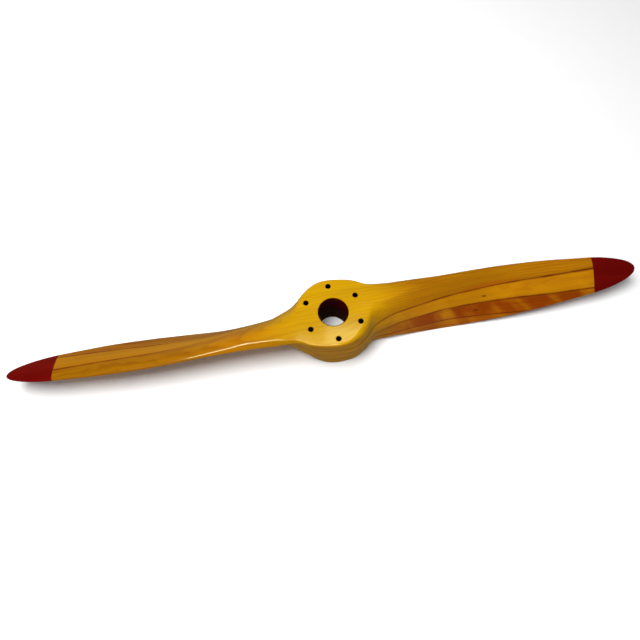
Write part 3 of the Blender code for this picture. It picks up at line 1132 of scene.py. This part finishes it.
FRONT_MARKS = (((287.0, 14.0, 56.0), (85.0, 30.0, 8.0), RESIN),)
THIRD_MARKS = (((279.7, -2.2, 45.1), (6.0, 3.0, 3.0), KNOT),)
SECOND_MARKS = (((264.4, -19.1, 26.2), (9.0, 3.5, 3.0), KNOT),
                ((-357.0, 27.5, 22.5), (60.0, 6.0, 6.0), DARK_STREAK))

woods = {
    "front_board": varnished_wood("straight_golden_wood", AMBER, (-95.0, -45.0), 4.2,
                                  (0.0, 1.4, 0.8), 0.36, 0.0, (GLUE_3,), FRONT_MARKS),
    "third_board": varnished_wood("pale_amber_wood", PALE_AMBER, (80.0, -60.0), 4.4,
                                  (0.0, -1.1, -0.6), 0.22, 0.10, (GLUE_2, GLUE_3), THIRD_MARKS),
    "second_board": varnished_wood("figured_red_wood", RED_AMBER, (-50.0, 130.0), 4.0,
                                   (0.0, 0.8, 1.2), 0.30, 0.90, (GLUE_1, GLUE_2), SECOND_MARKS),
    "rear_board": varnished_wood("figured_brown_wood", RED_AMBER, (20.0, -60.0), 4.0,
                                 (0.0, -0.7, 0.5), 0.30, 0.60, (GLUE_1,)),
}
print("woods:", ", ".join(wood.name for wood in woods.values()))

# %% [markdown]
# ## Lacquer, sealer, glue and painted shade in the bolt holes
# The paints are plain on purpose, but never one flat colour: a brush leaves soft streaks
# and a little orange peel, so colour, gloss and surface all vary a little.

# %% A painted finish
PAINT_COAT_ROUGHNESS = 0.2
STREAK_ROUGHNESS = 0.12
PEEL_STRETCH = (420.0, 420.0, 420.0)
PEEL_DEPTH = 0.1


def painted(name, colour, streak_colour, streak_stretch, rough, coat, peel):
    """A brushed paint: two close colours in soft streaks, under a thin clear coat."""
    made, tree, shader = new_finish(name)
    place = object_place(tree)
    streaks = noise(tree, place, streak_stretch, FINE_DETAIL)
    brushed = blend(tree, span(tree, streaks, 0.3, 0.7), (*colour, 1.0), (*streak_colour, 1.0))
    tree.links.new(brushed, shader.inputs["Base Color"])
    tree.links.new(span(tree, streaks, 0.2, 0.8, rough, rough + STREAK_ROUGHNESS),
                   shader.inputs["Roughness"])
    shader.inputs["Specular IOR Level"].default_value = UNDER_COAT_SHINE
    shader.inputs["Coat Weight"].default_value = coat
    shader.inputs["Coat Roughness"].default_value = PAINT_COAT_ROUGHNESS
    relief(tree, shader, noise(tree, place, PEEL_STRETCH), peel, PEEL_DEPTH)
    return made


print("orange peel:", PEEL_DEPTH, "mm deep")

# %% [markdown]
# ## Four paints
# The lacquer on the tips is a deep red with a soft gloss. The maroon sealer is nearly
# matt, the glue dries to a satin red-brown, and the bolt holes' walls are painted almost
# black as painted shade.

# %% Four paints
red_lacquer = painted("red_lacquer", (0.125, 0.0015, 0.0008), (0.10, 0.0010, 0.0005),
                      (9.0, 60.0, 60.0), 0.42, 0.15, 0.15)
maroon = painted("maroon_sealer", (0.045, 0.0012, 0.0012), (0.022, 0.0006, 0.0006),
                 (60.0, 60.0, 240.0), 0.6, 0.0, 0.5)
glue = painted("dark_glue", (0.10, 0.016, 0.002), (0.06, 0.008, 0.001),
               (40.0, 200.0, 200.0), 0.45, 0.5, 0.2)
# Painted shade: a near-black paint for the bolt holes' walls, where shade falls.
hole_shade_paint = painted("painted_hole_shade", (0.006, 0.002, 0.001), (0.003, 0.001, 0.001),
                      (90.0, 90.0, 300.0), 0.5, 0.0, 0.4)
print("paints:", ", ".join(paint.name for paint in (red_lacquer, maroon, glue, hole_shade_paint)))

# %% [markdown]
# ## Putting the finishes on
# Each piece has its own finish in its first slot. The boards and the glue also have a
# near-black paint in a second slot, painted shade for the bolt holes, and the straight walls
# of the bolt holes are given that slot face by face. They are found by their place: close to a
# bolt's axis and upright.

# %% Put the finishes on
UPRIGHT_LIMIT = 0.3
HOLE_MARGIN = 0.1


def in_a_bolt_hole(face):
    if abs(face.normal.z) > UPRIGHT_LIMIT:
        return False
    reach = (BOLT_RADIUS + HOLE_MARGIN) * MM
    return any((face.center.xy - Vector(centre) * MM).length < reach for centre in bolt_centres())


for name, board in boards.items():
    board.data.materials.append(woods[name])
for film in films:
    film.data.materials.append(glue)
for tip in tips.values():
    tip.data.materials.append(red_lacquer)
sealer.data.materials.append(maroon)

# The bolt holes' straight walls are painted near black as painted shade.
shaded_hole_faces = 0
for piece in list(boards.values()) + films:
    piece.data.materials.append(hole_shade_paint)
    for face in piece.data.polygons:
        if in_a_bolt_hole(face):
            face.material_index = 1
            shaded_hole_faces += 1
print("faces sealed black in the bolt holes:", shaded_hole_faces)

# %% [markdown]
# ## Tying the pieces to the frame
# A piece rides on the frame's one body, and the plain solid that it refines is hidden.

# %% Tie the pieces to the frame
def settle(piece, node):
    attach(piece, "root")
    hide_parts(node)


for name, board in boards.items():
    settle(board, name)
for index, film in enumerate(films):
    settle(film, f"glue_line_{index + 1}")
for node, tip in tips.items():
    settle(tip, node)
settle(sealer, "bore_sealer_coat")
print("pieces:", len(boards) + len(films) + len(tips) + 1)

# %% [markdown]
# ## The studio floor
# The propeller lies on a large sheet of white paper, which catches its soft shadow and
# throws light back up under the blades. The paper isn't mirrored in the varnish, where it
# would lie over the wood like a thin veil.

# %% Floor
FLOOR_HALF = 4.0
PAPER_TONES = ((0.88, 0.88, 0.88, 1.0), (0.90, 0.90, 0.90, 1.0))


def studio_floor():
    mesh = bmesh.new()
    bmesh.ops.create_grid(mesh, x_segments=1, y_segments=1, size=FLOOR_HALF)
    floor = as_object("studio_floor", mesh)
    paper, tree, shader = new_finish("white_paper")
    mottle = noise(tree, object_place(tree), (30.0, 30.0, 30.0), FINE_DETAIL)
    tree.links.new(blend(tree, mottle, *PAPER_TONES), shader.inputs["Base Color"])
    shader.inputs["Roughness"].default_value = 0.9
    shader.inputs["Specular IOR Level"].default_value = 0.1
    floor.data.materials.append(paper)
    floor.visible_glossy = False
    floor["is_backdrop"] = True


studio_floor()
print("floor:", 2.0 * FLOOR_HALF, "m square")

# %% [markdown]
# ## The key light
# One large soft light hangs nearly overhead, a little to the left, and does most of the
# lighting. It is so large that a raised blade throws a shadow with a wide, soft edge. It
# isn't mirrored in the varnish, or it would lie on the wood as a large white patch.

# %% Key light
KEY_PLACE = (-0.60, 0.08, 2.1)
KEY_SIZE = (1.4, 1.3)
KEY_WATTS = 66.0
LIT_POINT = Vector((0.0, 0.0, 0.04))


def soft_light(name, place, size, watts):
    data = bpy.data.lights.new(name, "AREA")
    data.shape = "RECTANGLE"
    data.size, data.size_y = size
    data.energy = watts
    lamp = bpy.data.objects.new(name, data)
    lamp.location = place
    bpy.context.scene.collection.objects.link(lamp)
    return lamp


key = soft_light("key_softbox", KEY_PLACE, KEY_SIZE, KEY_WATTS)
key.rotation_euler = (LIT_POINT - Vector(KEY_PLACE)).to_track_quat("-Z", "Y").to_euler()
key.visible_glossy = False
print("key light", KEY_PLACE[2], "m up,", KEY_SIZE[0], "m wide")

# %% [markdown]
# ## Lights for the highlights only
# Varnish is read by its highlights, and they are easier to place when they have lights of
# their own. These three face straight down, are warm, and are seen only as reflections,
# so they light nothing: one draws the long highlight along the left blade's near edge,
# one lays a sheen on the hub's face, and one adds a thin streak at the hub's left root.

# %% Mirrored lights
CREAM = (0.95, 1.0, 0.60)
WARM = (0.95, 1.0, 0.50)
MIRRORED_LIGHTS = (
    # name, place, size, watts, colour, turn in degrees
    ("edge_strip", (-0.26, -0.30, 1.9), (0.80, 0.34), 24.0, CREAM, 0.0),
    ("sheen_panel", (0.26, 0.65, 2.0), (0.28, 0.24), 1.35, WARM, -14.0),
    ("streak_strip", (0.055, 0.700, 2.0), (0.15, 0.009), 0.20, CREAM, -30.0),
)

for name, place, size, watts, colour, turn in MIRRORED_LIGHTS:
    mirrored = soft_light(name, place, size, watts)
    mirrored.data.color = colour
    mirrored.rotation_euler = (0.0, 0.0, radians(turn))
    mirrored.visible_diffuse = False
print("mirrored lights:", len(MIRRORED_LIGHTS))

# %% [markdown]
# ## What the varnish mirrors
# A white room would put a milky veil on the varnish. So the world lights the scene
# evenly, but shows a mirror-like surface a dim, warm room instead: nearly dark above and
# a little lighter below.

# %% World
ROOM_LIGHT = 0.30
MIRRORED_ABOVE = (0.02, 0.016, 0.008, 1.0)
MIRRORED_BELOW = (0.20, 0.15, 0.06, 1.0)
HORIZON_SOFTNESS = 0.25


def studio_world():
    world = bpy.data.worlds.new("studio")
    world.use_nodes = True
    tree = world.node_tree
    sky = tree.nodes.new("ShaderNodeTexCoord").outputs["Generated"]
    above = span(tree, axis_of(tree, sky, "Z"), -HORIZON_SOFTNESS, HORIZON_SOFTNESS)
    mirrored = blend(tree, above, MIRRORED_BELOW, MIRRORED_ABOVE)
    is_mirrored = tree.nodes.new("ShaderNodeLightPath").outputs["Is Glossy Ray"]
    even = (ROOM_LIGHT, ROOM_LIGHT, ROOM_LIGHT, 1.0)
    tree.links.new(blend(tree, is_mirrored, even, mirrored),
                   tree.nodes["Background"].inputs["Color"])
    bpy.context.scene.world = world


studio_world()
bpy.context.scene.view_settings.view_transform = "Standard"
print("room light:", ROOM_LIGHT)

# %% [markdown]
# ## The camera
# It looks down on the hub from a little over a metre away, with the right-hand blade
# turned slightly away from it. The camera slides along its own axes so that the hub sits
# above and left of the picture's centre.

# %% Camera
CAMERA_DISTANCE = 1044.584 * MM
CAMERA_ELEVATION = radians(66.148)
CAMERA_TURN = radians(10.227)
SLIDE_LEFT = 22.189 * MM
SLIDE_DOWN = 14.906 * MM
LENS = 33.80
SENSOR = 36.0
PICTURE_SIZE = 640
FRAME_NUDGE = 0.5 / PICTURE_SIZE


def studio_camera():
    turn = Matrix.Rotation(-CAMERA_TURN, 3, "Z")
    right = turn @ Vector((1.0, 0.0, 0.0))
    up = turn @ Vector((0.0, sin(CAMERA_ELEVATION), cos(CAMERA_ELEVATION)))
    back = turn @ Vector((0.0, -cos(CAMERA_ELEVATION), sin(CAMERA_ELEVATION)))
    data = bpy.data.cameras.new("studio_camera")
    data.lens = LENS
    data.sensor_width = SENSOR
    data.shift_x, data.shift_y = -FRAME_NUDGE, FRAME_NUDGE
    camera = bpy.data.objects.new("studio_camera", data)
    camera.location = (Vector((0.0, 0.0, HUB_THICKNESS * MM)) - right * SLIDE_LEFT
                       - up * SLIDE_DOWN + back * CAMERA_DISTANCE)
    camera.rotation_euler = Matrix((right, up, back)).transposed().to_euler()
    bpy.context.scene.collection.objects.link(camera)
    bpy.context.scene.camera = camera
    return camera


print("camera at", [round(value, 2) for value in studio_camera().location])

# %% [markdown]
# ## Both boxes
# The fine model has to stay inside the plain model's box, so both boxes are printed.

# %% Print both boxes
visual_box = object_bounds()
for low_high, label in zip(zip(cad_box, visual_box), ("low corner", "high corner")):
    print(label, [[round(value / MM, 3) for value in corner] for corner in low_high])
